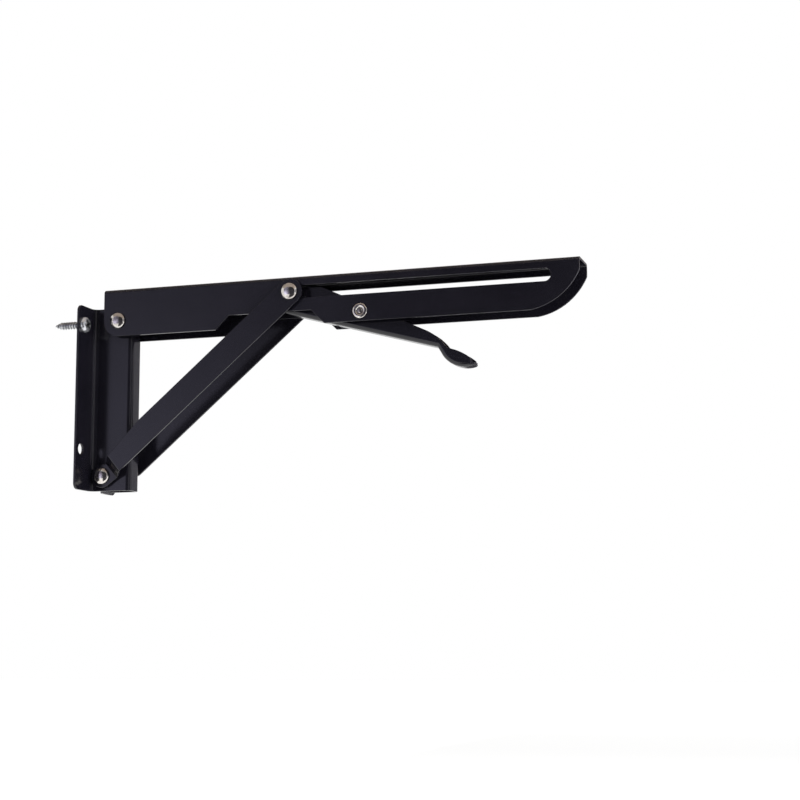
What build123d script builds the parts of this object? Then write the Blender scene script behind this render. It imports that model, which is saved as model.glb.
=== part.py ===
"""Folding shelf bracket: a wall leg, a shelf arm that folds down on it, and a strut pinned between them.

Millimetres. X points away from the wall, Z points up and Y runs along the wall. The origin lies on the
wall plane, midway between the two lower screw holes.
"""

from build123d import *
from math import atan2, cos, hypot, sin
import os

# ---- sheet steel and fits ----
sheet = 1.5                    # thickness of every pressed part
running_clearance = 0.05       # radial, between a shank and its hole
side_clearance = 0.1           # between faces that slide past each other

# ---- wall leg: a hat section with a flange on each side ----
leg_height = 114.0
leg_width = 13.0               # outside the channel
leg_depth = 28.0               # from the wall to the front of the channel
leg_flange_span = 53.0         # over both flanges
leg_root_radius = 4.0          # hollow between flange and side wall
leg_nose_radius = 3.0          # outside the two front bends
flange_corner_radius = 4.0
screw_hole_radius = 3.25
screw_hole_inset = 6.3         # from the flange's outer edge
lower_hole_height = 25.0       # above the foot of the leg
upper_hole_drop = 12.0         # below the top of the leg

# ---- shelf arm: a channel that opens downwards ----
arm_length = 300.0
arm_width = 23.2
arm_depth = 29.6
arm_bend_radius = 2.4          # outside the two top bends
shelf_above_leg = 11.0         # seating face above the top of the leg
pivot_from_wall = 20.2
pivot_below_shelf = 19.9
nose_edge = 7.7                # plain height of the arm's front edge
nose_run = 29.3                # length of the curve under the nose
nose_bulge = 4.7
nose_corner_radius = 3.0
notch_start = 65.7             # from the arm's pivot
notch_length = 70.2
notch_depth = 8.5
notch_corner_radius = 3.0
shelf_hole_radius = 2.75
shelf_hole_start = 32.0        # from the arm's pivot to the first shelf hole
shelf_hole_spacing = 215.0

# ---- slot and the pins that slide in it ----
slot_height = 7.7
slot_below_shelf = 9.55
slot_travel = 155.0            # between the centres of the slot's ends
pin_out = 114.8                # from the arm's pivot to the pins, with the arm level
slider_shank_radius = 3.65
slider_flange_radius = 5.5
slider_flange = 1.0
slider_head_radius = 5.2
slider_head = 1.3

# ---- strut: a pair of flat bars with cranked feet ----
strut_width = 15.5
strut_side_gap = 1.3           # bar to arm
foot_from_wall = 10.2
foot_above_leg_end = 9.2
foot_radius = 7.2
foot_neck = 4.2                # upper edge above the axis beside the foot
neck_start = 7.0
neck_end = 42.0
crank_start = 7.4              # bend beside the foot, from the pin
crank_run = 5.0
crank_bend_radius = 1.6        # at the middle of the sheet
foot_washer = 0.9
foot_washer_radius = 5.2

# ---- rivets ----
pivot_shank_radius = 3.5
dome_radius = 5.1
dome_height = 2.7
dome_rim = 0.5
pivot_washer_radius = 6.2
lever_shank_radius = 2.5
lever_head_radius = 4.6
lever_head = 0.85
lever_head_dimple = 0.45

# ---- release lever: a channel that opens upwards, hooked in front of the pins ----
lever_pin_out = 158.4          # from the arm's pivot
lever_pin_below_shelf = 23.5
lever_side_gap = 5.6           # lever to the arm's outer face, on each side
lever_saddle_tail = 6.0        # from the pins back to the lever's end
lever_saddle_drop = 4.8        # saddle below the slot's centre line
lever_hook_rise = 3.6          # hook above the slot's centre line
lever_hook_gap = 0.9           # hook beyond the pins
lever_hook_land = 12.0
lever_fall = 15.2              # slope of the channel's floor, degrees
lever_floor_depth = 10.4       # floor below the lever's pin, square to the floor
lever_back_fall = 24.9         # slope of the upper edge, degrees
lever_back_reach = 73.9        # hook to the shoulder above the neck
lever_floor_end = 5.6          # floor beyond the shoulder
shoulder_bulge = 1.0
neck_run = 6.6
neck_fall = 59.5
neck_depth = 5.3
neck_lean = 58.6               # slope of the line across the neck, degrees
paddle_run = 20.1              # neck to the tip of the thumb paddle
paddle_fall = 16.6
paddle_crown = 1.4             # of the paddle's curved upper edge
paddle_belly = 3.4             # of the paddle's curved underside
paddle_tip_flat = 2.0          # straight middle of the paddle's rounded tip
lever_bend_radius = 2.5        # outside the bends between floor and walls

# ---- lever return spring ----
spring_wire_radius = 0.6
spring_coil_radius = 3.9
spring_pitch = 1.7
spring_turns = 3
spring_hook_rise = 6.5         # bent end above the lever's pin
spring_hook_bend = 1.5
spring_hook_end = 0.3          # short of the arm's outer face

# ---- wall screws ----
screw_head_radius = 4.9
screw_head_height = 3.2
screw_rim = 0.9
screw_shank_radius = 2.4
screw_length = 20.0
screw_point = 5.0

os.makedirs("parts", exist_ok=True)

# ---- places worked out from the sizes above ----
leg_foot = -lower_hole_height
shelf = leg_foot + leg_height + shelf_above_leg
arm_pivot = (pivot_from_wall, shelf - pivot_below_shelf)
arm_end_radius = arm_depth - pivot_below_shelf
arm_back = arm_pivot[0] - arm_end_radius
arm_front = arm_back + arm_length
arm_low = shelf - arm_depth
slot_line = shelf - slot_below_shelf
head_pin = (arm_pivot[0] + pin_out, slot_line)
foot_pin = (foot_from_wall, leg_foot + foot_above_leg_end)
lever_pin = (arm_pivot[0] + lever_pin_out, shelf - lever_pin_below_shelf)
hole_side = leg_flange_span / 2 - screw_hole_inset
upper_hole = leg_height - lower_hole_height - upper_hole_drop
spring_hook = (lever_pin[0] + spring_coil_radius, lever_pin[1] + spring_hook_rise)

strut_length = hypot(head_pin[0] - foot_pin[0], head_pin[1] - foot_pin[1])
strut_slope = atan2(head_pin[1] - foot_pin[1], head_pin[0] - foot_pin[0])
along = (cos(strut_slope), 0, sin(strut_slope))
across = (-sin(strut_slope), 0, cos(strut_slope))

arm_inside = arm_width / 2 - sheet
bar_inside = arm_width / 2 + strut_side_gap
foot_inside = leg_width / 2 + foot_washer + 2 * side_clearance


def point(place, y=0.0):
    """The 3-D point of a place (x, z) at the given y."""
    return (place[0], y, place[1])


def pin_plane(place):
    """A plane through a pin's axis: its x is radial and its y runs along the pin."""
    return Plane(origin=point(place), x_dir=(1, 0, 0), z_dir=(0, 0, 1))


def pin_axis(place):
    return Axis(point(place), (0, 1, 0))


def finish(piece, name):
    piece.part.label = name
    export_step(piece.part, f"parts/{name}.step")


# ---- wall leg ----
with BuildPart() as wall_leg:
    with BuildSketch(Plane.XY.offset(leg_foot)):
        with BuildLine():
            mid = sheet / 2
            side = leg_width / 2 - mid
            FilletPolyline(
                (mid, -leg_flange_span / 2),
                (mid, -side),
                (leg_depth - mid, -side),
                (leg_depth - mid, side),
                (mid, side),
                (mid, leg_flange_span / 2),
                radius=[leg_root_radius + mid, leg_nose_radius - mid,
                        leg_nose_radius - mid, leg_root_radius + mid],
            )
        trace(line_width=sheet)
    extrude(amount=leg_height)
    outer_corners = wall_leg.edges().filter_by(Axis.X).filter_by(
        lambda edge: abs(edge.center().Y) > leg_flange_span / 2 - sheet / 2
    )
    fillet(outer_corners, radius=flange_corner_radius)
    with BuildSketch(Plane.YZ):
        with GridLocations(2 * hole_side, 0, 2, 1):
            Circle(screw_hole_radius)
        with Locations((-hole_side, upper_hole), (hole_side, upper_hole)):
            Circle(screw_hole_radius)
    extrude(amount=sheet, mode=Mode.SUBTRACT)
    with BuildSketch(Plane.XZ):
        with Locations(arm_pivot, foot_pin):
            Circle(pivot_shank_radius + running_clearance)
    extrude(amount=leg_width, both=True, mode=Mode.SUBTRACT)
finish(wall_leg, "wall_leg")

# ---- shelf arm ----
with BuildPart() as shelf_arm:
    with BuildSketch(Plane.YZ.offset(arm_back)):
        with BuildLine():
            side = arm_width / 2 - sheet / 2
            FilletPolyline(
                (-side, arm_low),
                (-side, shelf - sheet / 2),
                (side, shelf - sheet / 2),
                (side, arm_low),
                radius=arm_bend_radius - sheet / 2,
            )
        trace(line_width=sheet)
    extrude(amount=arm_length)
    with BuildSketch(Plane.XZ):
        with BuildLine():
            notch_back = arm_pivot[0] + notch_start
            notch_front = notch_back + notch_length
            nose_start = (arm_front, shelf - nose_edge)
            nose_end = (arm_front - nose_run, arm_low)
            Polyline((arm_back, arm_pivot[1]), (arm_back, shelf), (arm_front, shelf), nose_start)
            SagittaArc(nose_start, nose_end, nose_bulge)
            Polyline(
                nose_end,
                (notch_front, arm_low),
                (notch_front - notch_depth, arm_low + notch_depth),
                (notch_back + notch_depth, arm_low + notch_depth),
                (notch_back, arm_low),
                (arm_pivot[0], arm_low),
            )
            RadiusArc((arm_pivot[0], arm_low), (arm_back, arm_pivot[1]), arm_end_radius)
        outline = make_face()
        fillet(outline.vertices().group_by(Axis.X)[-1].sort_by(Axis.Y)[0], radius=nose_corner_radius)
        fillet(
            [v for v in outline.vertices() if notch_back - 1 < v.X < notch_front + 1],
            radius=notch_corner_radius,
        )
    extrude(amount=arm_width, both=True, mode=Mode.INTERSECT)
    with BuildSketch(Plane.XZ):
        with Locations((head_pin[0] + slot_travel / 2, slot_line)):
            SlotCenterToCenter(slot_travel, slot_height)
        with Locations(arm_pivot):
            Circle(pivot_shank_radius + running_clearance)
        with Locations(lever_pin):
            Circle(lever_shank_radius + running_clearance)
    extrude(amount=arm_width, both=True, mode=Mode.SUBTRACT)
    with BuildSketch(Plane.XZ):
        with Locations(spring_hook):
            Circle(spring_wire_radius + running_clearance)
    extrude(amount=-arm_width, mode=Mode.SUBTRACT)
    with BuildSketch(Plane.XY.offset(shelf)):
        shelf_hole = arm_pivot[0] + shelf_hole_start
        with Locations((shelf_hole, 0), (shelf_hole + shelf_hole_spacing, 0)):
            Circle(shelf_hole_radius)
    extrude(amount=-2 * sheet, mode=Mode.SUBTRACT)
finish(shelf_arm, "shelf_arm")

# ---- strut bars: flat bars whose feet are cranked in to the leg ----
side_plane = Plane(origin=point(foot_pin), x_dir=along, z_dir=(0, -1, 0))
crank_plane = Plane(origin=point(foot_pin), x_dir=along, z_dir=across)
for hand, name in ((-1, "strut_left"), (1, "strut_right")):
    with BuildPart() as strut_bar:
        with BuildSketch(crank_plane):
            with BuildLine():
                foot_level = hand * (foot_inside + sheet / 2)
                bar_level = hand * (bar_inside + sheet / 2)
                FilletPolyline(
                    (-foot_radius - sheet, foot_level),
                    (crank_start, foot_level),
                    (crank_start + crank_run, bar_level),
                    (strut_length + strut_width, bar_level),
                    radius=crank_bend_radius,
                )
            trace(line_width=sheet)
        extrude(amount=strut_width, both=True)
        with BuildSketch(side_plane):
            half = strut_width / 2
            Circle(foot_radius)
            with Locations((strut_length, 0)):
                Circle(half)
            Polygon(
                (0, -foot_radius),
                (neck_start, -half),
                (strut_length, -half),
                (strut_length, half),
                (neck_end, half),
                (neck_start, foot_neck),
                (0, foot_neck),
                align=None,
            )
        extrude(amount=arm_width, both=True, mode=Mode.INTERSECT)
        with BuildSketch(side_plane):
            with Locations((0, 0), (strut_length, 0)):
                Circle(pivot_shank_radius + running_clearance)
        extrude(amount=arm_width, both=True, mode=Mode.SUBTRACT)
    finish(strut_bar, name)


# ---- through rivets of the two pivots ----
def dome_rivet(place, half_span, name):
    """A round-headed rivet across the bracket: its heads bear on faces half_span from the middle."""
    with BuildPart() as rivet:
        with BuildSketch(pin_plane(place)):
            with BuildLine():
                crown = half_span + dome_height
                rim = half_span + dome_rim
                TangentArc((0, crown), (dome_radius, rim), tangent=(1, 0))
                Polyline(
                    (dome_radius, rim),
                    (dome_radius, half_span),
                    (pivot_shank_radius, half_span),
                    (pivot_shank_radius, -half_span),
                    (dome_radius, -half_span),
                    (dome_radius, -rim),
                )
                TangentArc((0, -crown), (dome_radius, -rim), tangent=(1, 0))
                Line((0, -crown), (0, crown))
            make_face()
        revolve(axis=pin_axis(place))
    finish(rivet, name)


dome_rivet(arm_pivot, arm_width / 2, "arm_pivot_rivet")
dome_rivet(foot_pin, foot_inside + sheet, "strut_foot_rivet")


# ---- washers ----
def washer(place, low, high, outer, inner, name):
    """A flat ring on a pin, from low to high along Y."""
    with BuildPart() as ring:
        with BuildSketch(Plane(origin=point(place, low), x_dir=(1, 0, 0), z_dir=(0, 1, 0))):
            Circle(outer)
            Circle(inner, mode=Mode.SUBTRACT)
        extrude(amount=high - low)
    finish(ring, name)


washer_bore = pivot_shank_radius + running_clearance
lever_bore = lever_shank_radius + running_clearance
leg_side = leg_width / 2
lever_side = arm_width / 2 - lever_side_gap
for hand, side_name in ((-1, "left"), (1, "right")):
    pivot_ends = sorted((hand * (leg_side + side_clearance), hand * (arm_inside - side_clearance)))
    washer(arm_pivot, *pivot_ends, pivot_washer_radius, washer_bore, f"pivot_washer_{side_name}")
    foot_ends = sorted((hand * (leg_side + side_clearance), hand * (foot_inside - side_clearance)))
    washer(foot_pin, *foot_ends, foot_washer_radius, washer_bore, f"foot_washer_{side_name}")
    lever_ends = sorted((hand * (lever_side + side_clearance), hand * (arm_inside - side_clearance)))
    washer(lever_pin, *lever_ends, lever_head_radius, lever_bore, f"lever_washer_{side_name}")

# ---- strut head rivets: short domed rivets set in the bars ----
for hand, name in ((-1, "strut_head_rivet_left"), (1, "strut_head_rivet_right")):
    with BuildPart() as head_rivet:
        with BuildSketch(pin_plane(head_pin)):
            with BuildLine():
                seat = hand * (bar_inside + sheet)
                crown = seat + hand * dome_height
                rim = seat + hand * dome_rim
                TangentArc((0, crown), (dome_radius, rim), tangent=(1, 0))
                Polyline(
                    (dome_radius, rim),
                    (dome_radius, seat),
                    (pivot_shank_radius, seat),
                    (pivot_shank_radius, hand * bar_inside),
                    (0, hand * bar_inside),
                    (0, crown),
                )
            make_face()
        revolve(axis=pin_axis(head_pin))
    finish(head_rivet, name)

# ---- slider pins: a shank in the slot between an outer flange and an inner head ----
for hand, name in ((-1, "slider_pin_left"), (1, "slider_pin_right")):
    with BuildPart() as slider:
        with BuildSketch(pin_plane(head_pin)):
            with BuildLine():
                outside = hand * (arm_width / 2 + side_clearance)
                inside = hand * (arm_inside - side_clearance)
                Polyline(
                    (0, outside + hand * slider_flange),
                    (slider_flange_radius, outside + hand * slider_flange),
                    (slider_flange_radius, outside),
                    (slider_shank_radius, outside),
                    (slider_shank_radius, inside),
                    (slider_head_radius, inside),
                    (slider_head_radius, inside - hand * slider_head),
                    (0, inside - hand * slider_head),
                    close=True,
                )
            make_face()
        revolve(axis=pin_axis(head_pin))
    finish(slider, name)

# ---- lever rivet: thin flattened heads, dimpled in the middle ----
with BuildPart() as lever_rivet:
    with BuildSketch(pin_plane(lever_pin)):
        with BuildLine():
            seat = arm_width / 2
            face = seat + lever_head
            floor = face - lever_head_dimple
            ThreePointArc((0, floor), (lever_shank_radius / 2, floor + lever_head_dimple / 4),
                          (lever_shank_radius, face))
            Polyline(
                (lever_shank_radius, face),
                (lever_head_radius - lever_head_dimple, face),
                (lever_head_radius, face - lever_head_dimple),
                (lever_head_radius, seat),
                (lever_shank_radius, seat),
                (lever_shank_radius, 0),
                (0, 0),
                (0, floor),
            )
        make_face()
    revolve(axis=pin_axis(lever_pin))
    mirror(about=Plane.XZ)
finish(lever_rivet, "lever_rivet")

# ---- release lever ----
hook_x = head_pin[0] + slider_shank_radius + lever_hook_gap
saddle_z = slot_line - lever_saddle_drop
hook_top = slot_line + lever_hook_rise
floor_dir = Vector(1, 0).rotate(Axis.Z, -lever_fall)
floor_mid = Vector(*lever_pin) + Vector(0, -1).rotate(Axis.Z, -lever_fall) * lever_floor_depth
back_dir = Vector(1, 0).rotate(Axis.Z, -lever_back_fall)
neck_dir = Vector(1, 0).rotate(Axis.Z, -neck_fall)
paddle_dir = Vector(1, 0).rotate(Axis.Z, -paddle_fall)
lever_end = head_pin[0] - lever_saddle_tail
floor_back = floor_mid + floor_dir * ((lever_end - floor_mid.X) / floor_dir.X)
back_start = Vector(hook_x + lever_hook_land, hook_top)
back_end = back_start + back_dir * lever_back_reach
floor_reach = (back_end.X + lever_floor_end - floor_mid.X) / floor_dir.X
floor_front = floor_mid + floor_dir * floor_reach
neck_end_point = floor_front + neck_dir * neck_run
neck_top = neck_end_point + Vector(1, 0).rotate(Axis.Z, neck_lean) * neck_depth
paddle_tip = neck_end_point + paddle_dir * paddle_run
lift = Vector(0, sheet)
with BuildPart() as release_lever:
    with BuildSketch(Plane.XZ):
        with BuildLine():
            SagittaArc(paddle_tip, neck_end_point, paddle_belly)
            Polyline(
                neck_end_point,
                floor_front,
                floor_back,
                (lever_end, hook_top),
                (paddle_tip.X, hook_top),
                paddle_tip,
            )
        make_face()
    extrude(amount=lever_side, both=True)
    underside = release_lever.faces().filter_by(lambda face: face.normal_at().Z < -0.5)
    fillet(
        underside.edges().filter_by(lambda edge: abs(edge.center().Y) > lever_side - 0.1),
        radius=lever_bend_radius,
    )
    with BuildSketch(Plane.XZ):
        with BuildLine():
            below = paddle_tip.Y - neck_run
            Polyline((lever_end, below), (lever_end, saddle_z), (hook_x, saddle_z), (hook_x, hook_top),
                     back_start, back_end)
            SagittaArc(back_end, neck_top, shoulder_bulge)
            SagittaArc(neck_top, paddle_tip + lift, paddle_crown)
            Polyline(paddle_tip + lift, (paddle_tip.X, below), (lever_end, below))
        walls = make_face()
        hook_corners = walls.vertices().filter_by(
            lambda v: abs(v.Y - hook_top) < sheet / 10 and v.X > hook_x - sheet
        )
        fillet(hook_corners, radius=sheet)
    extrude(amount=lever_side, both=True, mode=Mode.INTERSECT)
    with BuildSketch(Plane.XY):
        with Locations(((lever_end + paddle_tip.X) / 2, 0)):
            plan = Rectangle(paddle_tip.X - lever_end, 2 * lever_side)
        fillet(plan.vertices().group_by(Axis.X)[-1], radius=lever_side - paddle_tip_flat / 2)
    extrude(amount=shelf, mode=Mode.INTERSECT)
    with BuildSketch(Plane.XZ):
        with BuildLine():
            SagittaArc(paddle_tip + lift, neck_end_point + lift, paddle_belly)
            Polyline(
                neck_end_point + lift,
                floor_front + lift,
                floor_back - floor_dir + lift,
                (lever_end - sheet, hook_top + sheet),
                (paddle_tip.X + sheet, hook_top + sheet),
                (paddle_tip.X + sheet, paddle_tip.Y + sheet),
                paddle_tip + lift,
            )
        make_face()
    extrude(amount=lever_side - sheet, both=True, mode=Mode.SUBTRACT)
    with BuildSketch(Plane.XZ):
        with Locations(lever_pin):
            Circle(lever_shank_radius + running_clearance)
    extrude(amount=arm_width, both=True, mode=Mode.SUBTRACT)
finish(release_lever, "release_lever")

# ---- lever spring: a wire coil round the lever rivet, one leg over the floor and one hooked in the arm ----
coil_length = spring_pitch * spring_turns
leg_x = spring_hook[0]
leg_bottom = lever_pin[1] - (lever_floor_depth - sheet - side_clearance)
coil_plane = Plane(origin=point(lever_pin, -coil_length / 2), x_dir=(1, 0, 0), z_dir=(0, 1, 0))
coil_path = coil_plane * Helix(spring_pitch, coil_length, spring_coil_radius, lefthand=True)
with BuildPart() as lever_spring:
    with BuildSketch(Plane(origin=coil_path @ 0, z_dir=coil_path % 0)):
        RegularPolygon(spring_wire_radius, 8)
    sweep(path=coil_path, is_frenet=True)
    with BuildSketch(Plane(origin=(leg_x, -coil_length / 2, lever_pin[1]))):
        Circle(spring_wire_radius)
    extrude(amount=leg_bottom - lever_pin[1])
    bend_foot = spring_hook[1] - spring_hook_bend
    with Locations((leg_x, coil_length / 2, lever_pin[1])):
        Sphere(spring_wire_radius + running_clearance)
    with BuildSketch(Plane(origin=(leg_x, coil_length / 2, lever_pin[1]))):
        Circle(spring_wire_radius)
    extrude(amount=bend_foot - lever_pin[1])
    with BuildSketch(Plane(origin=(leg_x, coil_length / 2, bend_foot))):
        Circle(spring_wire_radius)
    bend_axis = Axis((leg_x, coil_length / 2 + spring_hook_bend, bend_foot), (-1, 0, 0))
    revolve(axis=bend_axis, revolution_arc=90)
    with BuildSketch(Plane(origin=(leg_x, coil_length / 2 + spring_hook_bend, spring_hook[1]), z_dir=(0, 1, 0))):
        Circle(spring_wire_radius)
    extrude(amount=arm_width / 2 - spring_hook_end - coil_length / 2 - spring_hook_bend)
finish(lever_spring, "lever_spring")

# ---- wall screws in the two upper holes ----
for hand, name in ((-1, "wall_screw_left"), (1, "wall_screw_right")):
    screw_axis = (0, hand * hole_side, upper_hole)
    with BuildPart() as wall_screw:
        with BuildSketch(Plane(origin=screw_axis)):
            with BuildLine():
                tip = sheet - screw_length
                crown = (sheet + screw_head_height, 0)
                rim = (sheet + screw_rim, screw_head_radius)
                TangentArc(crown, rim, tangent=(0, 1))
                Polyline(
                    rim,
                    (sheet, screw_head_radius),
                    (sheet, screw_shank_radius),
                    (tip + screw_point, screw_shank_radius),
                    (tip, 0),
                    crown,
                )
            make_face()
        revolve(axis=Axis(screw_axis, (1, 0, 0)))
    finish(wall_screw, name)
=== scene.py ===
import bmesh
import bpy
from math import cos, pi, radians, sin
from mathutils import Euler, Matrix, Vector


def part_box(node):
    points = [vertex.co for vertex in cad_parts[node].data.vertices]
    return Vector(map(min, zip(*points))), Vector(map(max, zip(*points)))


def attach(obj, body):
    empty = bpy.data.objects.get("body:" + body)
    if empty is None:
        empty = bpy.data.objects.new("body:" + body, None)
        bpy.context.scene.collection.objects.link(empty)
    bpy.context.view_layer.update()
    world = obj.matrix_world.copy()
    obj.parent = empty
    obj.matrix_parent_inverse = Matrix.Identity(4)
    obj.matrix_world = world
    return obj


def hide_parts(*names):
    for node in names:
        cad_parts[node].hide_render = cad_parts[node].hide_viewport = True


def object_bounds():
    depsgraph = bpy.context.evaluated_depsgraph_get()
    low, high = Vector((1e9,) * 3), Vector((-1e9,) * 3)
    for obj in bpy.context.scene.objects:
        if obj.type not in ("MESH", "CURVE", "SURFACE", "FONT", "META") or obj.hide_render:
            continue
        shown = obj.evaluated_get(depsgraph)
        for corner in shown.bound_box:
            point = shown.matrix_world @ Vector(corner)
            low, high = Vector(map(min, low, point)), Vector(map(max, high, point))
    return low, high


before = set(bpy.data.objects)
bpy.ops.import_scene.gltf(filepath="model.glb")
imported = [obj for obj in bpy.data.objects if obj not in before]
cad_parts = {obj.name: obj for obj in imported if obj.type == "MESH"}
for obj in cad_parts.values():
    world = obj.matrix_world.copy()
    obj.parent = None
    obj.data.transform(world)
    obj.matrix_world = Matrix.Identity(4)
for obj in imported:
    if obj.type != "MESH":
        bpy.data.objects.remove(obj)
cad_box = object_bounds()
scene = bpy.context.scene
scene.view_settings.view_transform = "Standard"

# The camera stands in front of the bracket, to its right and a little below it, and looks slightly up.
# A long lens keeps the arm's sides almost parallel.
camera_tilt = radians(98.269)
camera_turn = radians(17.594)
camera_roll = radians(-0.174)
camera = bpy.data.objects.new("camera", bpy.data.cameras.new("camera"))
camera.data.sensor_width = 36
camera.data.lens = 75.08
camera.data.clip_start = 0.01
camera.data.clip_end = 60
camera.location = (0.4935, -0.9266, -0.1176)
heading = Euler((camera_tilt, 0, camera_turn)).to_matrix()
camera.rotation_euler = (heading @ Matrix.Rotation(camera_roll, 3, "Z")).to_euler()
scene.collection.objects.link(camera)
scene.camera = camera

# The studio: a pale floor well below the folded arm, a white surround, a curtain behind the camera that
# darkens upwards and to the right, grey cards on the right, a brown one above and dark mats on the floor.
# The curtain, the cards and the mats are there only for the gloss of the enamel and the rivets to pick up.


def node_in(tree, kind, values=None, **settings):
    """A new node in a tree, with its own properties set and then the values of its inputs."""
    node = tree.nodes.new(kind)
    for key, setting in settings.items():
        setattr(node, key, setting)
    for label, value in (values or {}).items():
        node.inputs[label].default_value = value
    return node


def join(tree, *pairs):
    """Links each pair's first socket to its second."""
    for source, target in pairs:
        tree.links.new(source, target)


def new_finish(name, values):
    """A new node material with its shader's values set, its tree and its shader."""
    material = bpy.data.materials.new(name)
    material.use_nodes = True
    shader = material.node_tree.nodes["Principled BSDF"]
    for label, value in values.items():
        shader.inputs[label].default_value = value
    return material, material.node_tree, shader


def two_tone(tree, dark, light, start=0.0, end=1.0):
    """A colour ramp that runs from a dark tone to a light one."""
    ramp = node_in(tree, "ShaderNodeValToRGB")
    low_stop, high_stop = ramp.color_ramp.elements
    low_stop.position = start
    low_stop.color = (*dark, 1)
    high_stop.position = end
    high_stop.color = (*light, 1)
    return ramp


def looked_at(tree):
    """A value that is 1 for the eye and for what gloss and glass show, and 0 for light that falls."""
    rays = node_in(tree, "ShaderNodeLightPath")
    eye_or_gloss = node_in(tree, "ShaderNodeMath", operation="MAXIMUM")
    eye_gloss_or_glass = node_in(tree, "ShaderNodeMath", operation="MAXIMUM")
    join(
        tree,
        (rays.outputs["Is Camera Ray"], eye_or_gloss.inputs[0]),
        (rays.outputs["Is Glossy Ray"], eye_or_gloss.inputs[1]),
        (eye_or_gloss.outputs[0], eye_gloss_or_glass.inputs[0]),
        (rays.outputs["Is Transmission Ray"], eye_gloss_or_glass.inputs[1]),
    )
    return eye_gloss_or_glass.outputs[0]


def board(name, corners, material):
    """A flat board of the studio, with four corners."""
    mesh = bpy.data.meshes.new(name)
    mesh.from_pydata(corners, [], [(0, 1, 2, 3)])
    mesh.materials.append(material)
    flat_board = bpy.data.objects.new(name, mesh)
    scene.collection.objects.link(flat_board)
    return flat_board


floor_level = cad_box[0].z - 0.33
floor_reach = 9.0
floor_paint, floor_tree, floor_shader = new_finish(
    "studio_floor", {"Roughness": 0.9, "Specular IOR Level": 0.1, "Emission Color": (1, 1, 1, 1)}
)
floor_grain = node_in(floor_tree, "ShaderNodeTexNoise", {"Scale": 1.5})
floor_tone = two_tone(floor_tree, (0.90, 0.895, 0.89), (0.93, 0.93, 0.925))
floor_place = node_in(floor_tree, "ShaderNodeTexCoord")
floor_distance = node_in(floor_tree, "ShaderNodeVectorMath", operation="LENGTH")
floor_fade = node_in(
    floor_tree, "ShaderNodeMapRange", {"From Min": 0.8, "From Max": 4.5, "To Min": 0.46, "To Max": 0.62}
)
floor_glow = node_in(floor_tree, "ShaderNodeMath", operation="MULTIPLY")
join(
    floor_tree,
    (floor_grain.outputs["Fac"], floor_tone.inputs["Fac"]),
    (floor_tone.outputs["Color"], floor_shader.inputs["Base Color"]),
    (floor_place.outputs["Object"], floor_distance.inputs[0]),
    (floor_distance.outputs["Value"], floor_fade.inputs["Value"]),
    (looked_at(floor_tree), floor_glow.inputs[0]),
    (floor_fade.outputs["Result"], floor_glow.inputs[1]),
    (floor_glow.outputs[0], floor_shader.inputs["Emission Strength"]),
)
floor = board(
    "studio_floor",
    [(-floor_reach, -floor_reach, floor_level), (floor_reach, -floor_reach, floor_level),
     (floor_reach, floor_reach, floor_level), (-floor_reach, floor_reach, floor_level)],
    floor_paint,
)

curtain_cloth, curtain_tree, curtain_shader = new_finish(
    "studio_curtain",
    {"Base Color": (0.02, 0.02, 0.02, 1), "Roughness": 1.0, "Emission Color": (0.96, 0.93, 1.24, 1)},
)
curtain_place = node_in(curtain_tree, "ShaderNodeTexCoord")
curtain_axis = node_in(curtain_tree, "ShaderNodeSeparateXYZ")
curtain_run = node_in(
    curtain_tree, "ShaderNodeMapRange", {"From Min": -1.35, "From Max": -0.50, "To Min": 1.0, "To Max": 0.03}
)
curtain_rise = node_in(
    curtain_tree, "ShaderNodeMapRange", {"From Min": 0.20, "From Max": 0.80, "To Min": 1.0, "To Max": 0.25}
)
curtain_glow = node_in(curtain_tree, "ShaderNodeMath", operation="MULTIPLY")
join(
    curtain_tree,
    (curtain_place.outputs["Object"], curtain_axis.inputs[0]),
    (curtain_axis.outputs["X"], curtain_run.inputs["Value"]),
    (curtain_axis.outputs["Z"], curtain_rise.inputs["Value"]),
    (curtain_run.outputs["Result"], curtain_glow.inputs[0]),
    (curtain_rise.outputs["Result"], curtain_glow.inputs[1]),
    (curtain_glow.outputs[0], curtain_shader.inputs["Emission Strength"]),
)
shades = [board(
    "studio_curtain", [(-2.4, -2.5, -0.40), (2.4, -2.5, -0.40), (2.4, -2.5, 1.70), (-2.4, -2.5, 1.70)],
    curtain_cloth,
)]
mat_level = floor_level + 0.003
for shade_name, corners, tone in (
    ("studio_top_card", [(-0.45, -0.55, 0.42), (-0.45, 1.60, 0.42), (0.60, 1.60, 0.42), (0.60, -0.55, 0.42)],
     (0.48, 0.41, 0.36, 1)),
    ("studio_back_card", [(0.4, 2.5, -0.36), (3.6, 2.5, -0.36), (3.6, 2.5, 1.6), (0.4, 2.5, 1.6)],
     (0.64, 0.62, 0.67, 1)),
    ("studio_side_card", [(3.0, -2.5, -0.36), (3.0, 0.5, -0.36), (3.0, 0.5, 1.6), (3.0, -2.5, 1.6)],
     (0.50, 0.49, 0.53, 1)),
    ("studio_front_mat",
     [(0.00, -0.30, mat_level), (-0.35, -2.49, mat_level), (2.4, -2.49, mat_level), (1.0, -0.30, mat_level)],
     (0.05, 0.048, 0.054, 1)),
    ("studio_back_mat",
     [(-0.6, 0.82, mat_level), (1.6, 0.82, mat_level), (1.6, 3.50, mat_level), (-0.6, 3.50, mat_level)],
     (0.12, 0.115, 0.13, 1)),
):
    shade_paint = new_finish(shade_name, {"Base Color": tone, "Roughness": 1.0})[0]
    shades.append(board(shade_name, corners, shade_paint))
for shade in shades:
    shade.visible_camera = False
    shade.visible_shadow = False
    shade.visible_diffuse = False

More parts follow.
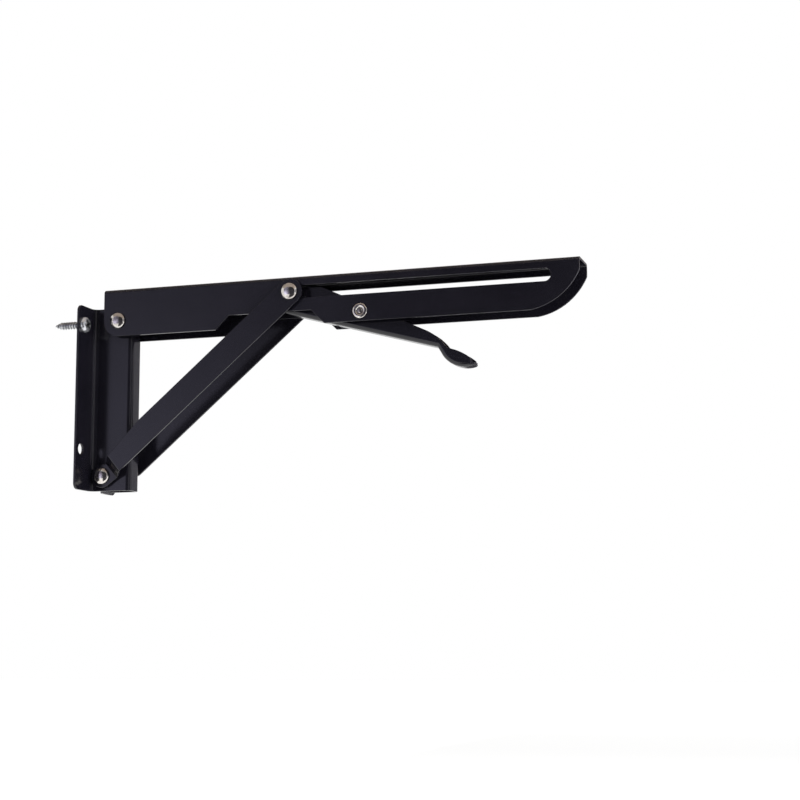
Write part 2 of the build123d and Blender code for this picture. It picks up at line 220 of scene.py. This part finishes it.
surround = bpy.data.worlds.new("studio_surround")
surround.use_nodes = True
scene.world = surround
sky_tree = surround.node_tree
sky = sky_tree.nodes["Background"]
sky.inputs["Color"].default_value = (1, 1, 1, 1)
sky_level = node_in(sky_tree, "ShaderNodeMapRange", {"To Min": 0.45, "To Max": 1.0})
join(
    sky_tree,
    (looked_at(sky_tree), sky_level.inputs["Value"]),
    (sky_level.outputs["Result"], sky.inputs["Strength"]),
)

middle = (cad_box[0] + cad_box[1]) / 2
for lamp_name, place, size, power in (
    ("key_lamp", (-0.7, -1.3, 1.5), 1.1, 10.0),
    ("front_lamp", (1.9, -0.5, 0.5), 0.9, 27.0),
    ("rim_lamp", (0.2, 1.7, 1.2), 0.8, 7.0),
):
    lamp = bpy.data.objects.new(lamp_name, bpy.data.lights.new(lamp_name, "AREA"))
    lamp.data.size = size
    lamp.data.energy = power
    lamp.location = place
    lamp.rotation_euler = (middle - lamp.location).to_track_quat("-Z", "Y").to_euler()
    lamp.visible_glossy = False
    scene.collection.objects.link(lamp)

# Wall leg: 1.5 mm steel pressed to a hat section, its cut edges tumbled and the whole dipped in black
# enamel, which flows a little thinner over every edge. The enamel is the same on all five pressed parts.
enamel, paint, paint_shader = new_finish("black_enamel", {})
paint_place = node_in(paint, "ShaderNodeTexCoord")
cloud = node_in(paint, "ShaderNodeTexNoise", {"Scale": 38, "Detail": 4})
cloud_tone = two_tone(paint, (0.0074, 0.0069, 0.0108), (0.0098, 0.0091, 0.0138), 0.35, 0.70)
rounded = node_in(paint, "ShaderNodeBevel", {"Radius": 0.0006}, samples=6)
flat = node_in(paint, "ShaderNodeNewGeometry")
edge_turn = node_in(paint, "ShaderNodeVectorMath", operation="DOT_PRODUCT")
edge_mask = node_in(paint, "ShaderNodeMapRange", {"From Min": 0.985, "From Max": 0.80})
edge_wear = node_in(paint, "ShaderNodeMix", data_type="RGBA")
edge_wear.inputs["B"].default_value = (0.016, 0.015, 0.020, 1)
peel = node_in(paint, "ShaderNodeTexNoise", {"Scale": 620, "Detail": 2})
peel_bump = node_in(paint, "ShaderNodeBump", {"Strength": 0.03, "Distance": 0.0002})
gloss = node_in(paint, "ShaderNodeMapRange", {"To Min": 0.13, "To Max": 0.21})
join(
    paint,
    (paint_place.outputs["Object"], cloud.inputs["Vector"]),
    (paint_place.outputs["Object"], peel.inputs["Vector"]),
    (cloud.outputs["Fac"], cloud_tone.inputs["Fac"]),
    (rounded.outputs["Normal"], edge_turn.inputs[0]),
    (flat.outputs["Normal"], edge_turn.inputs[1]),
    (edge_turn.outputs["Value"], edge_mask.inputs["Value"]),
    (edge_mask.outputs["Result"], edge_wear.inputs["Factor"]),
    (cloud_tone.outputs["Color"], edge_wear.inputs["A"]),
    (edge_wear.outputs["Result"], paint_shader.inputs["Base Color"]),
    (cloud.outputs["Fac"], gloss.inputs["Value"]),
    (gloss.outputs["Result"], paint_shader.inputs["Roughness"]),
    (peel.outputs["Fac"], peel_bump.inputs["Height"]),
    (peel_bump.outputs["Normal"], paint_shader.inputs["Normal"]),
)
merge_gap = 0.000002
flat_within = radians(0.3)
edge_steps = 3


def pressed_part(node, edge):
    """An enamelled copy of a pressed part, with its doubles merged and its cut edges rounded."""
    shape = bmesh.new()
    shape.from_mesh(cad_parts[node].data)
    bmesh.ops.remove_doubles(shape, verts=shape.verts, dist=merge_gap)
    bmesh.ops.dissolve_limit(shape, angle_limit=flat_within, verts=shape.verts, edges=shape.edges)
    mesh = bpy.data.meshes.new("enamelled_" + node)
    shape.to_mesh(mesh)
    shape.free()
    mesh.polygons.foreach_set("use_smooth", [True] * len(mesh.polygons))
    mesh.materials.append(enamel)
    piece = bpy.data.objects.new("enamelled_" + node, mesh)
    scene.collection.objects.link(piece)
    soft_edge = piece.modifiers.new("soft_edge", "BEVEL")
    soft_edge.width = edge
    soft_edge.segments = edge_steps
    soft_edge.limit_method = "ANGLE"
    soft_edge.angle_limit = radians(32)
    soft_edge.use_clamp_overlap = False
    piece.modifiers.new("even_shading", "WEIGHTED_NORMAL").keep_sharp = True
    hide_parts(node)
    return piece


wall_leg = pressed_part("wall_leg", 0.00030)
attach(wall_leg, "wall_leg")

# Shelf arm: a channel of the same steel, open below, with a slot in each side, a notch that clears the
# strut's feet and a rounded nose. It is blanked, folded and enamelled as one piece.
shelf_arm = pressed_part("shelf_arm", 0.00022)
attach(shelf_arm, "shelf_arm")

# Strut: two flat bars of steel with rounded eye ends, one on each side of the arm. Each is blanked,
# cranked inwards at the foot to lie against the leg, and enamelled.
for bar in ("strut_left", "strut_right"):
    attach(pressed_part(bar, 0.00030), "strut")

# Release lever: a small steel channel that opens upwards, hooked at the nose and drawn out to a thumb
# paddle. It is blanked and pressed as one piece, enamelled, and swings on a rivet of its own.
release_lever = pressed_part("release_lever", 0.00025)
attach(release_lever, "release_lever")

# Rivets through the arm's pivot and the strut's foot: 7 mm steel rivets with a low round head closed over
# on each side, nickel plated in a barrel, which leaves the heads bright with a few small dents.


def metal(name, dark, light, smooth, rough, dent_size, dent_depth, bare=1.0, shade_depth=1.0):
    """A bare or plated metal: cloudy between two colours, with painted shade darkening its hollows, unevenly
    glossy, dented.
    """
    material, tree, shader = new_finish(name, {"Metallic": bare})
    place = node_in(tree, "ShaderNodeTexCoord")
    cloudy = node_in(tree, "ShaderNodeTexNoise", {"Scale": 260, "Detail": 5})
    tone = two_tone(tree, dark, light, 0.32, 0.62)
    sheen = node_in(tree, "ShaderNodeMapRange", {"To Min": rough, "To Max": smooth})
    # Painted shade: ambient occlusion darkens the base colour in recesses, grooves and where parts meet, and
    # the power below deepens it.
    hollow_shade = node_in(tree, "ShaderNodeAmbientOcclusion", {"Distance": 0.0030}, samples=8, only_local=True)
    deepened_shade = node_in(tree, "ShaderNodeMath", {1: shade_depth}, operation="POWER")
    shaded_tone = node_in(tree, "ShaderNodeVectorMath", operation="SCALE")
    dents = node_in(tree, "ShaderNodeTexNoise", {"Scale": 1 / dent_size, "Detail": 1.5})
    dent = node_in(tree, "ShaderNodeBump", {"Strength": 0.6, "Distance": dent_depth})
    join(
        tree,
        (place.outputs["Object"], cloudy.inputs["Vector"]),
        (place.outputs["Object"], dents.inputs["Vector"]),
        (cloudy.outputs["Fac"], tone.inputs["Fac"]),
        (hollow_shade.outputs["AO"], deepened_shade.inputs[0]),
        (tone.outputs["Color"], shaded_tone.inputs[0]),
        (deepened_shade.outputs[0], shaded_tone.inputs["Scale"]),
        (shaded_tone.outputs[0], shader.inputs["Base Color"]),
        (cloudy.outputs["Fac"], sheen.inputs["Value"]),
        (sheen.outputs["Result"], shader.inputs["Roughness"]),
        (dents.outputs["Fac"], dent.inputs["Height"]),
        (dent.outputs["Normal"], shader.inputs["Normal"]),
    )
    return material


nickel = metal("nickel", (0.50, 0.46, 0.43), (0.80, 0.77, 0.73), 0.10, 0.20, 0.0016, 0.00012)


turning_steps = 64
corner_angle = radians(35)


def turned(outline, soft):
    """A mesh turned about the Y axis. The outline lists (radius, y); soft rounds its corners."""
    shape = bmesh.new()
    corners = [shape.verts.new((radius, y, 0)) for radius, y in outline]
    lines = [shape.edges.new(pair) for pair in zip(corners, corners[1:])]
    bmesh.ops.spin(
        shape, geom=corners + lines, axis=(0, 1, 0), cent=(0, 0, 0), steps=turning_steps, angle=2 * pi
    )
    bmesh.ops.remove_doubles(shape, verts=shape.verts, dist=merge_gap)
    bmesh.ops.recalc_face_normals(shape, faces=shape.faces)
    bmesh.ops.bevel(
        shape, geom=[edge for edge in shape.edges if edge.calc_face_angle(0) > corner_angle],
        offset=soft, segments=edge_steps, profile=0.5, affect="EDGES", clamp_overlap=True,
    )
    mesh = bpy.data.meshes.new("turned")
    shape.to_mesh(mesh)
    shape.free()
    return mesh


def new_tree(name, *inputs):
    """An empty geometry tree with a shape in and out and the named inputs, and its two end nodes."""
    tree = bpy.data.node_groups.new(name, "GeometryNodeTree")
    tree.interface.new_socket("Geometry", in_out="INPUT", socket_type="NodeSocketGeometry")
    tree.interface.new_socket("Geometry", in_out="OUTPUT", socket_type="NodeSocketGeometry")
    for label, kind in inputs:
        tree.interface.new_socket(label, in_out="INPUT", socket_type="NodeSocket" + kind)
    return tree, node_in(tree, "NodeGroupInput"), node_in(tree, "NodeGroupOutput")


def grown(name, start, tree, values):
    """The plain object that a tree makes from a start mesh, its named inputs set and its faces outward."""
    piece = bpy.data.objects.new(name, start)
    scene.collection.objects.link(piece)
    growth = piece.modifiers.new("growth", "NODES")
    growth.node_group = tree
    for socket in tree.interface.items_tree:
        if socket.in_out == "INPUT" and socket.name in values:
            growth[socket.identifier] = values[socket.name]
    bpy.context.view_layer.update()
    mesh = bpy.data.meshes.new_from_object(piece.evaluated_get(bpy.context.evaluated_depsgraph_get()))
    piece.modifiers.remove(growth)
    shape = bmesh.new()
    shape.from_mesh(mesh)
    bmesh.ops.remove_doubles(shape, verts=shape.verts, dist=merge_gap)
    bmesh.ops.recalc_face_normals(shape, faces=shape.faces)
    shape.to_mesh(mesh)
    shape.free()
    mesh.name = name
    mesh.polygons.foreach_set("use_smooth", [True] * len(mesh.polygons))
    piece.data = mesh
    piece.modifiers.new("even_shading", "WEIGHTED_NORMAL").keep_sharp = True
    return piece


# The pair tree sets a piece on each side of the middle: the near one turned over, the far one as it is.
pair, pair_in, pair_out = new_tree(
    "pair_on_a_pin", ("Place", "Vector"), ("Half Span", "Float"), ("Turn", "Vector"), ("Metal", "Material")
)
side = node_in(pair, "GeometryNodeInputIndex")
side_sign = node_in(pair, "ShaderNodeMapRange", {"To Min": -1.0})
side_shift = node_in(pair, "ShaderNodeMath", operation="MULTIPLY")
side_place = node_in(pair, "ShaderNodeCombineXYZ")
pin_place = node_in(pair, "ShaderNodeVectorMath", operation="ADD")
two_points = node_in(pair, "GeometryNodePoints", {"Count": 2})
near_side = node_in(pair, "ShaderNodeMath", {0: 1.0}, operation="SUBTRACT")
near_turn = node_in(pair, "ShaderNodeVectorMath", operation="SCALE")
set_out = node_in(pair, "GeometryNodeInstanceOnPoints")
both = node_in(pair, "GeometryNodeRealizeInstances")
one_shank = node_in(pair, "GeometryNodeMergeByDistance", {"Distance": merge_gap})
plated = node_in(pair, "GeometryNodeSetMaterial")
join(
    pair,
    (side.outputs["Index"], side_sign.inputs["Value"]),
    (side_sign.outputs["Result"], side_shift.inputs[0]),
    (pair_in.outputs["Half Span"], side_shift.inputs[1]),
    (side_shift.outputs["Value"], side_place.inputs["Y"]),
    (side_place.outputs["Vector"], pin_place.inputs[0]),
    (pair_in.outputs["Place"], pin_place.inputs[1]),
    (pin_place.outputs["Vector"], two_points.inputs["Position"]),
    (side.outputs["Index"], near_side.inputs[1]),
    (pair_in.outputs["Turn"], near_turn.inputs[0]),
    (near_side.outputs["Value"], near_turn.inputs["Scale"]),
    (two_points.outputs["Points"], set_out.inputs["Points"]),
    (pair_in.outputs["Geometry"], set_out.inputs["Instance"]),
    (near_turn.outputs["Vector"], set_out.inputs["Rotation"]),
    (set_out.outputs["Instances"], both.inputs["Geometry"]),
    (both.outputs["Geometry"], one_shank.inputs["Geometry"]),
    (one_shank.outputs["Geometry"], plated.inputs["Geometry"]),
    (pair_in.outputs["Metal"], plated.inputs["Material"]),
    (plated.outputs["Geometry"], pair_out.inputs["Geometry"]),
)


def on_pin(name, outline, half_span, nodes, body, material, soft=0.00010):
    """Turns an outline, sets one on each side of the pin of those nodes, and gives the pair its body."""
    low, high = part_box(nodes[0])
    piece = grown(name, turned(outline, soft), pair, {
        "Place": ((low.x + high.x) / 2, 0, (low.z + high.z) / 2), "Half Span": half_span,
        "Turn": (0, 0, pi), "Metal": material,
    })
    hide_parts(*nodes)
    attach(piece, body)
    return piece


crown_steps = 16
rivet_fullness = 2.5


def crown(radius, height, rim, fullness, steps):
    """The outline of a head from its middle to the top of its rim; more fullness makes it flatter."""
    turns = [pi / 2 * i / steps for i in range(steps + 1)]
    return [
        (radius * sin(turn), rim + (height - rim) * (1 - sin(turn) ** fullness) ** 0.5) for turn in turns
    ]


rivet_shank = 0.0035
head_radius = 0.0051
head_height = 0.0027
head_rim = 0.0005
rivet_head = crown(head_radius, head_height, head_rim, rivet_fullness, crown_steps) + [
    (head_radius, 0), (rivet_shank, 0)
]
for name, node, body in (
    ("arm_pivot_rivet_heads", "arm_pivot_rivet", "shelf_arm"),
    ("strut_foot_rivet_heads", "strut_foot_rivet", "strut"),
):
    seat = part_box(node)[1].y - head_height
    on_pin(name, rivet_head + [(rivet_shank, -seat)], seat, [node], body, nickel)

# Strut head rivets: a short rivet of the same plated steel set in each bar, over the sliding pins. Its
# head is the same as the others', and its shank ends flush with the bar's inner face.
bar_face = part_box("strut_head_rivet_right")[1].y - head_height
bar_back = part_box("strut_head_rivet_right")[0].y - bar_face
on_pin(
    "strut_head_rivet_heads", rivet_head + [(rivet_shank, bar_back), (0, bar_back)],
    bar_face, ["strut_head_rivet_left", "strut_head_rivet_right"], "strut", nickel,
)

# Lever rivet: a thin semi-tubular rivet of plated steel, its hollow end rolled over to a bright ring
# round a cup, which a star punch has left uneven.
arm_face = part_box("shelf_arm")[1].y
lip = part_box("lever_rivet")[1].y - arm_face
lever_shank = 0.0025
lever_head = (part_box("lever_rivet")[1].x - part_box("lever_rivet")[0].x) / 2
on_pin(
    "lever_rivet_heads",
    [
        (0, 0.52 * lip), (0.22 * lever_head, 0.48 * lip), (0.30 * lever_head, 0.12 * lip),
        (0.44 * lever_head, 0.10 * lip), (0.50 * lever_head, 0.62 * lip), (0.58 * lever_head, 0.92 * lip),
        (0.68 * lever_head, lip), (0.80 * lever_head, 0.97 * lip), (0.91 * lever_head, 0.78 * lip),
        (0.98 * lever_head, 0.42 * lip), (lever_head, 0.12 * lip), (lever_head, 0),
        (lever_shank, 0), (lever_shank, -arm_face),
    ],
    arm_face, ["lever_rivet"], "shelf_arm", nickel, soft=0.00006,
)

# Washers and sliding pins: turned from plain bright steel bar, left bare, with their corners broken. The
# pivot washers centre the leg in the arm, and each sliding pin runs in its slot between two flanges.
plain_steel = metal("plain_steel", (0.28, 0.27, 0.27), (0.44, 0.43, 0.43), 0.24, 0.42, 0.0009, 0.00002)
bore_gap = 0.00005
for stem, body, bore in (
    ("pivot_washer", "shelf_arm", rivet_shank + bore_gap),
    ("foot_washer", "strut", rivet_shank + bore_gap),
    ("lever_washer", "shelf_arm", lever_shank + bore_gap),
):
    low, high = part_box(stem + "_right")
    outer = (high.x - low.x) / 2
    thick = high.y - low.y
    on_pin(
        stem + "s", [(bore, 0), (outer, 0), (outer, thick), (bore, thick), (bore, 0)], low.y,
        [stem + "_left", stem + "_right"], body, plain_steel, soft=0.00014,
    )

low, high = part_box("slider_pin_right")
flange_radius = (high.x - low.x) / 2
flange_seat = arm_face + 0.0001
flange_thick = high.y - flange_seat
inner_head = 0.0052
inner_thick = 0.0013
inner_seat = low.y + inner_thick
slider_shank = 0.00365
on_pin(
    "slider_pins",
    [
        (0, flange_thick), (flange_radius, flange_thick), (flange_radius, 0), (slider_shank, 0),
        (slider_shank, inner_seat - flange_seat), (inner_head, inner_seat - flange_seat),
        (inner_head, low.y - flange_seat), (0, low.y - flange_seat),
    ],
    flange_seat, ["slider_pin_left", "slider_pin_right"], "slider_pins", plain_steel,
    soft=0.00014,
)

# The wire tree draws a round or four-sided wire along a path of edges, then sets it in place.
wire, wire_in, wire_out = new_tree(
    "wire_along_a_path", ("Wire Radius", "Float"), ("Sides", "Int"), ("Metal", "Material")
)
path = node_in(wire, "GeometryNodeMeshToCurve")
upright = node_in(wire, "GeometryNodeSetCurveNormal", mode="Z_UP")
section = node_in(wire, "GeometryNodeCurvePrimitiveCircle")
drawn = node_in(wire, "GeometryNodeCurveToMesh", {"Fill Caps": True})
realized = node_in(wire, "GeometryNodeRealizeInstances")
wire_metal = node_in(wire, "GeometryNodeSetMaterial")
join(
    wire,
    (wire_in.outputs["Geometry"], path.inputs["Mesh"]),
    (path.outputs["Curve"], upright.inputs["Curve"]),
    (upright.outputs["Curve"], drawn.inputs["Curve"]),
    (wire_in.outputs["Wire Radius"], section.inputs["Radius"]),
    (wire_in.outputs["Sides"], section.inputs["Resolution"]),
    (section.outputs["Curve"], drawn.inputs["Profile Curve"]),
    (drawn.outputs["Mesh"], realized.inputs["Geometry"]),
    (realized.outputs["Geometry"], wire_metal.inputs["Geometry"]),
    (wire_in.outputs["Metal"], wire_metal.inputs["Material"]),
    (wire_metal.outputs["Geometry"], wire_out.inputs["Geometry"]),
)

# Lever return spring: three turns of 1.2 mm spring wire round the lever's rivet. Its lower leg stands
# over the lever's floor and its upper leg is bent to hook in a small hole in the arm's far side.
spring_steel = metal("spring_steel", (0.13, 0.13, 0.135), (0.26, 0.26, 0.265), 0.22, 0.36, 0.0012, 0.00002)
low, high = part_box("lever_spring")
rivet_low, rivet_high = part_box("lever_rivet")
lever_pin = ((rivet_low.x + rivet_high.x) / 2, (rivet_low.z + rivet_high.z) / 2)
wire_radius = 0.0006
coil_turns = 3
coil_half = -low.y - wire_radius
coil_radius = lever_pin[0] - low.x - wire_radius
bend = 0.0015
hook_level = high.z - wire_radius
leg_x = lever_pin[0] + coil_radius
steps_per_turn = 48
bend_steps = 8
wire_sides = 20
coil = [
    (lever_pin[0] + coil_radius * cos(2 * pi * i / steps_per_turn),
     -coil_half + 2 * coil_half * i / (coil_turns * steps_per_turn),
     lever_pin[1] + coil_radius * sin(2 * pi * i / steps_per_turn))
    for i in range(coil_turns * steps_per_turn + 1)
]
hook_bend = [
    (leg_x, coil_half + bend * (1 - cos(pi / 2 * i / bend_steps)),
     hook_level - bend * (1 - sin(pi / 2 * i / bend_steps)))
    for i in range(bend_steps + 1)
]
spring_path = [(leg_x, -coil_half, low.z)] + coil + hook_bend + [(leg_x, high.y, hook_level)]
spring_mesh = bpy.data.meshes.new("spring_path")
spring_mesh.from_pydata(spring_path, [(i, i + 1) for i in range(len(spring_path) - 1)], [])
lever_spring = grown(
    "lever_spring_wire", spring_mesh, wire,
    {"Wire Radius": wire_radius, "Sides": wire_sides, "Metal": spring_steel},
)
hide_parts("lever_spring")
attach(lever_spring, "shelf_arm")

# Wall screws: zinc-plated pan-head wood screws with a cross recess and a rolled thread, one through the
# upper hole of each flange. The recess is punched in the head and the thread winds down to the point.
# The zinc's painted shade is strengthened, with the occlusion taken to the third power, so the cross recess
# and the thread grooves render dark.
zinc = metal(
    "zinc", (0.42, 0.43, 0.47), (0.76, 0.77, 0.80), 0.12, 0.24, 0.0007, 0.00004, bare=0.80, shade_depth=3.0
)
low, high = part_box("wall_screw_right")
flange_face = 0.0015
pan_radius = (high.z - low.z) / 2
pan_height = high.x - flange_face
shank_radius = 0.0024
shank_step = -0.0020
root_radius = 0.00175
root_step = -0.0026
shank_end = low.x - flange_face
point_run = 0.005
pan_rim = 0.0007
pan_fullness = 4
pan_steps = 14
blank = bpy.data.objects.new("screw_blank", turned(
    crown(pan_radius, pan_height, pan_rim, pan_fullness, pan_steps)
    + [(pan_radius, 0), (shank_radius, 0), (shank_radius, shank_step), (root_radius, root_step),
       (root_radius, shank_end + point_run), (0, shank_end)],
    soft=0.00012,
))
arm_half = 0.00085
arm_reach = 0.0031
punch_top = pan_height + 0.0003
punch_tip = -0.0005
punch_taper = 0.72
cross = [
    (arm_half, arm_half), (arm_reach, arm_half), (arm_reach, -arm_half), (arm_half, -arm_half),
    (arm_half, -arm_reach), (-arm_half, -arm_reach), (-arm_half, -arm_half), (-arm_reach, -arm_half),
    (-arm_reach, arm_half), (-arm_half, arm_half), (-arm_half, arm_reach), (arm_half, arm_reach),
]
cross_tip = [
    [punch_taper * reach if abs(reach) > arm_half else reach for reach in corner] for corner in cross
]
corner_count = len(cross)
punch_mesh = bpy.data.meshes.new("screw_punch")
punch_mesh.from_pydata(
    [(x, punch_top, z) for x, z in cross] + [(x, punch_tip, z) for x, z in cross_tip],
    [],
    [range(corner_count), range(2 * corner_count - 1, corner_count - 1, -1)]
    + [(i, i + corner_count, (i + 1) % corner_count + corner_count, (i + 1) % corner_count)
       for i in range(corner_count)],
)
punch = bpy.data.objects.new("screw_punch", punch_mesh)
for tool in (blank, punch):
    scene.collection.objects.link(tool)
punched = blank.modifiers.new("recess", "BOOLEAN")
punched.object = punch
punched.solver = "EXACT"
bpy.context.view_layer.update()
blank_mesh = bpy.data.meshes.new_from_object(blank.evaluated_get(bpy.context.evaluated_depsgraph_get()))
thread_pitch = 0.0018
thread_steps = 24
thread_sides = 4
thread_height = 0.00062
thread_sink = 0.0003
thread_start = -0.0030
bare_tip = 0.0012
thread_run = thread_start - shank_end - bare_tip
thread_count = int(thread_run / thread_pitch * thread_steps)
thread_path = []
for i in range(thread_count + 1):
    turn = 2 * pi * i / thread_steps
    run = thread_start - thread_run * i / thread_count
    taper = min(1.0, (run - shank_end) / point_run)
    lead = min(1.0, i / thread_steps)
    reach = root_radius * taper - thread_sink * (1 - lead)
    thread_path.append((reach * cos(turn), reach * sin(turn), run))
thread_mesh = bpy.data.meshes.new("thread_path")
thread_mesh.from_pydata(thread_path, [(i, i + 1) for i in range(thread_count)], [])
thread = grown(
    "screw_thread", thread_mesh, wire, {"Wire Radius": thread_height, "Sides": thread_sides, "Metal": zinc}
)
screw = bmesh.new()
screw.from_mesh(thread.data)
bmesh.ops.rotate(screw, verts=screw.verts, cent=(0, 0, 0), matrix=Matrix.Rotation(radians(-90), 3, "X"))
screw.from_mesh(blank_mesh)
bmesh.ops.rotate(screw, verts=screw.verts, cent=(0, 0, 0), matrix=Matrix.Rotation(radians(-90), 3, "Z"))
screw_mesh = bpy.data.meshes.new("wall_screw")
screw.to_mesh(screw_mesh)
screw.free()
for tool in (blank, punch, thread):
    bpy.data.objects.remove(tool)
near_screw_turn = 0.5
wall_screws = grown("wall_screws", screw_mesh, pair, {
    "Place": (flange_face, 0, (low.z + high.z) / 2), "Half Span": (low.y + high.y) / 2,
    "Turn": (near_screw_turn, 0, 0), "Metal": zinc,
})
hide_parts("wall_screw_left", "wall_screw_right")
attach(wall_screws, "wall_leg")
